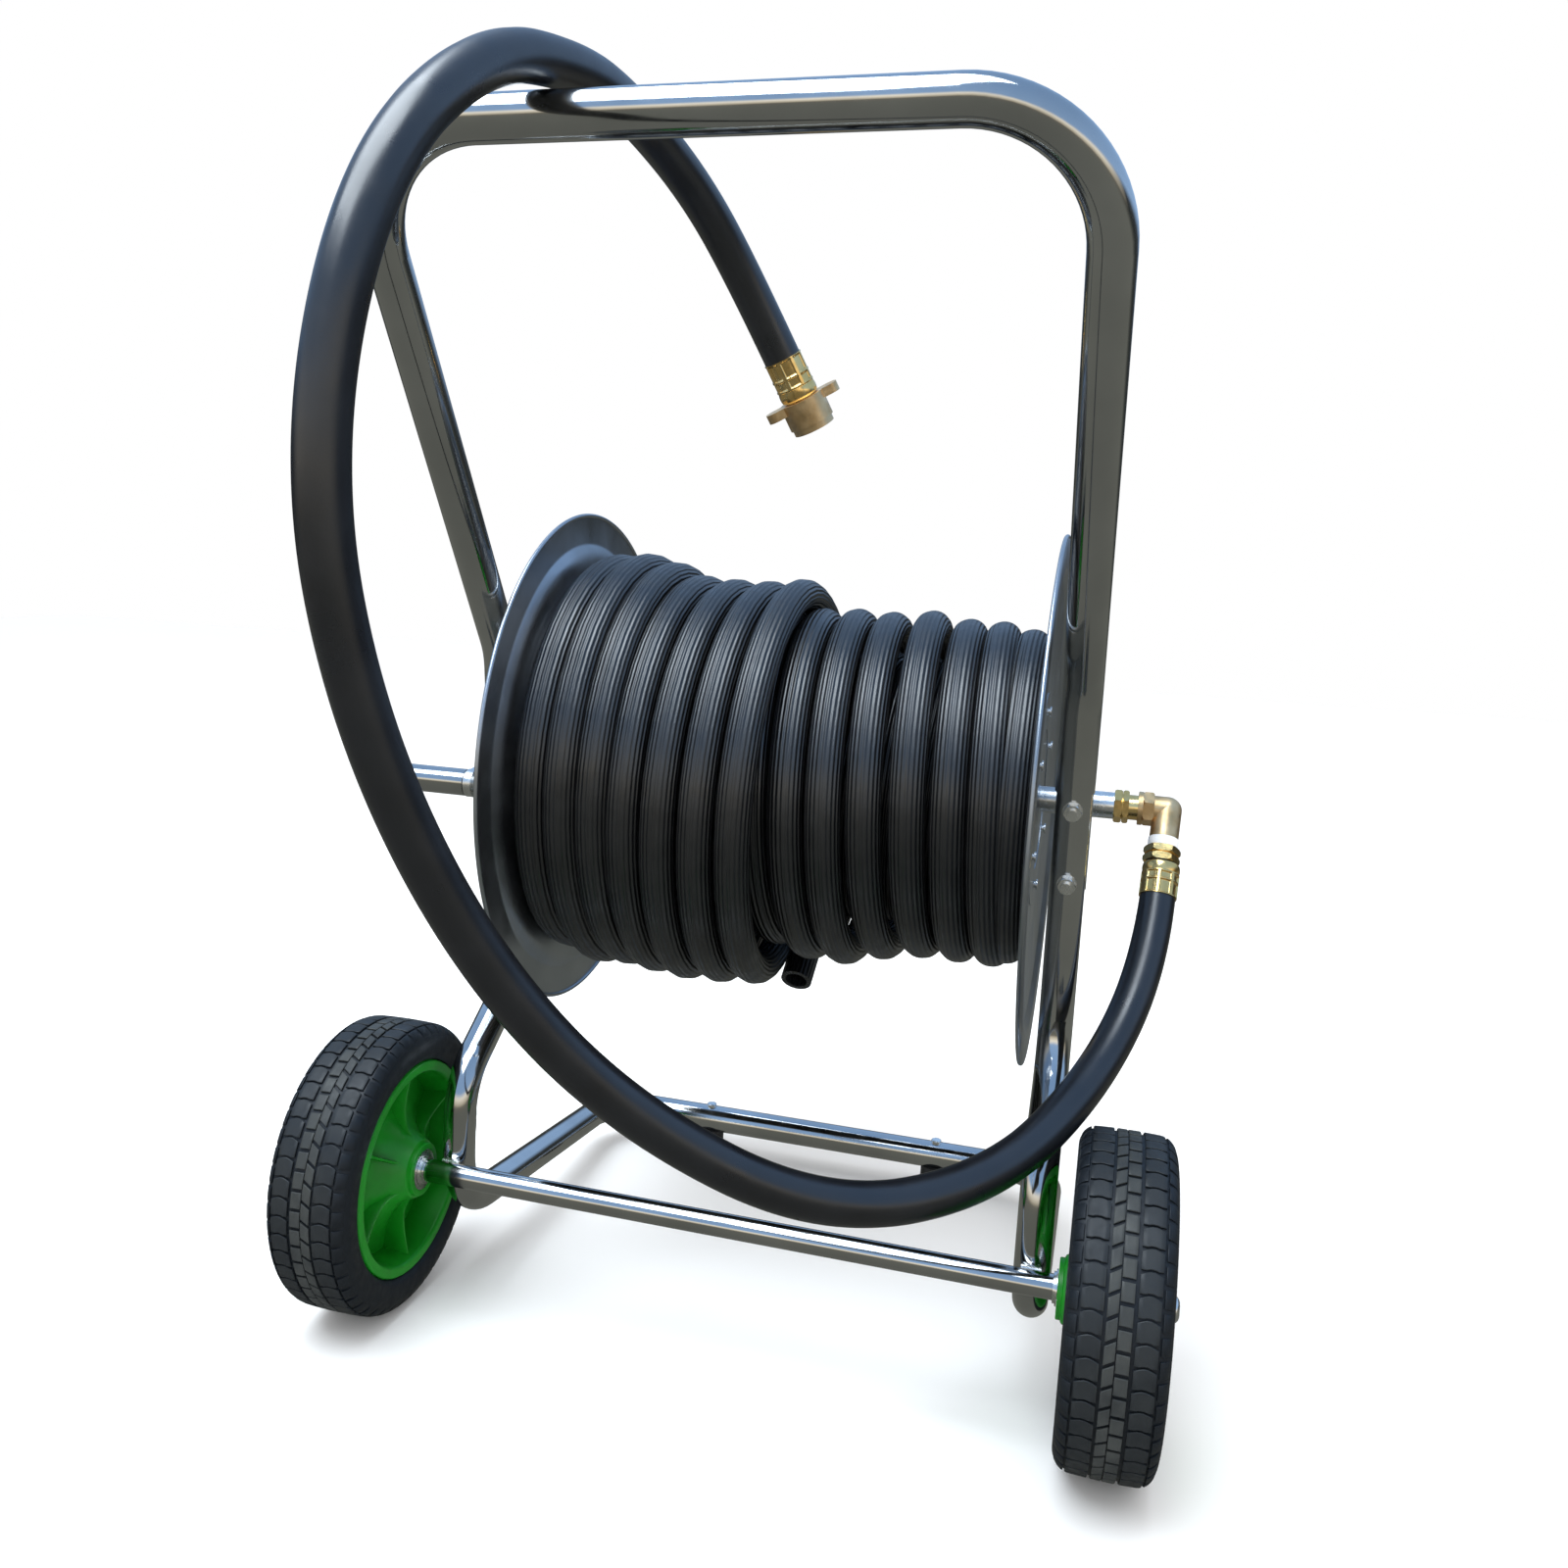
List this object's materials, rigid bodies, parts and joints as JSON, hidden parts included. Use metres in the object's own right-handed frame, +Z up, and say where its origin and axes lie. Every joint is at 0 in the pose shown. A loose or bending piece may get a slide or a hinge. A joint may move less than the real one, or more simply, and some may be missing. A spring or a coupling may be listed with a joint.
{
  "type": "garden hose reel cart",
  "caption": "Wheeled garden hose reel: bent steel tube frame with a leaning handle, spoked wheels, a cranked drum wound with hose, a brass water inlet and a leader hose over the handle.",
  "frame": {"origin": "centre of the bottom of the cart's box, on the floor, measured without the hoses and the coupling on the leader's end", "axes": "+Z up; +X along the wheel axle towards the water inlet; +Y to the front, where the two feet are; the handle leans to -Y"},
  "size_m": [0.733, 0.859, 1.0196],
  "materials": {
    "polished_steel": "polished stainless tube",
    "zinc_steel": "zinc plated",
    "cast_elbow_brass": "sand cast, rough",
    "turned_brass": "turned and pressed, bright",
    "green_plastic": "moulded, satin",
    "tyre_rubber": "block tread",
    "hose_rubber": "ribbed, semi-gloss",
    "leader_rubber": "smooth, semi-matte",
    "flange_steel": "dark, satin, spun",
    "tape_white": "wound thread tape",
    "bush_plastic": "moulded",
    "foot_rubber": "moulded"
  },
  "bodies": {
    "frame": {"handle_tube": "polished_steel", "base_tube": "polished_steel", "axle_bar": "polished_steel", "axle_shaft": "zinc_steel", "axle_welds": "zinc_steel", "axle_spacers": "zinc_steel", "axle_washers": "zinc_steel", "axle_nuts": "zinc_steel", "rubber_feet": "foot_rubber", "foot_screws": "zinc_steel", "bracket_left": "zinc_steel", "bracket_right": "zinc_steel", "pipe_bushes": "bush_plastic", "bracket_washers": "zinc_steel", "bracket_nuts": "zinc_steel", "bracket_bolts": "zinc_steel", "swivel_body": "turned_brass", "brass_elbow": "cast_elbow_brass", "thread_tape": "tape_white", "hose_nipple": "turned_brass", "inlet_seal": "foot_rubber", "inlet_ferrule": "turned_brass", "leader_hose": "leader_rubber", "end_ferrule": "turned_brass", "end_tail": "turned_brass", "end_seal": "foot_rubber"},
    "wheel_left": {"tyre_left": "tyre_rubber", "rim_left": "green_plastic", "bearings_left": "zinc_steel"},
    "wheel_right": {"tyre_right": "tyre_rubber", "rim_right": "green_plastic", "bearings_right": "zinc_steel"},
    "drum": {"drum_pipe": "zinc_steel", "drum_barrel": "flange_steel", "flange_left": "flange_steel", "flange_right": "flange_steel", "flange_bolts": "zinc_steel", "barrel_rings": "flange_steel", "hose_outlet": "turned_brass", "hose_winding": "hose_rubber", "outer_winding": "hose_rubber", "crank_arm": "zinc_steel", "crank_hub": "zinc_steel", "crank_set_screw": "zinc_steel", "grip_bolt": "zinc_steel", "grip_washers": "zinc_steel", "swivel_nut": "turned_brass"},
    "grip": {"crank_grip": "polished_steel", "grip_cap": "bush_plastic"},
    "wing_nut": {"wing_nut": "cast_elbow_brass"}
  },
  "joints": [
    {"name": "wheel_left_spin", "type": "hinge", "parent": "frame", "child": "wheel_left", "pos_m": [-0.319, -0.137, 0.1275], "axis": [1, 0, 0], "continuous": true},
    {"name": "wheel_right_spin", "type": "hinge", "parent": "frame", "child": "wheel_right", "pos_m": [0.319, -0.137, 0.1275], "axis": [1, 0, 0], "continuous": true},
    {"name": "drum_spin", "type": "hinge", "parent": "frame", "child": "drum", "pos_m": [0, 0.0857, 0.4753], "axis": [1, 0, 0], "continuous": true},
    {"name": "grip_spin", "type": "hinge", "parent": "drum", "child": "grip", "pos_m": [-0.335, -0.037, 0.4605], "axis": [1, 0, 0], "continuous": true},
    {"name": "wing_nut_spin", "type": "hinge", "parent": "frame", "child": "wing_nut", "pos_m": [0.00209, 0.01811, 0.80322], "axis": [0.4094, 0.3388, -0.8471], "continuous": true}
  ]
}
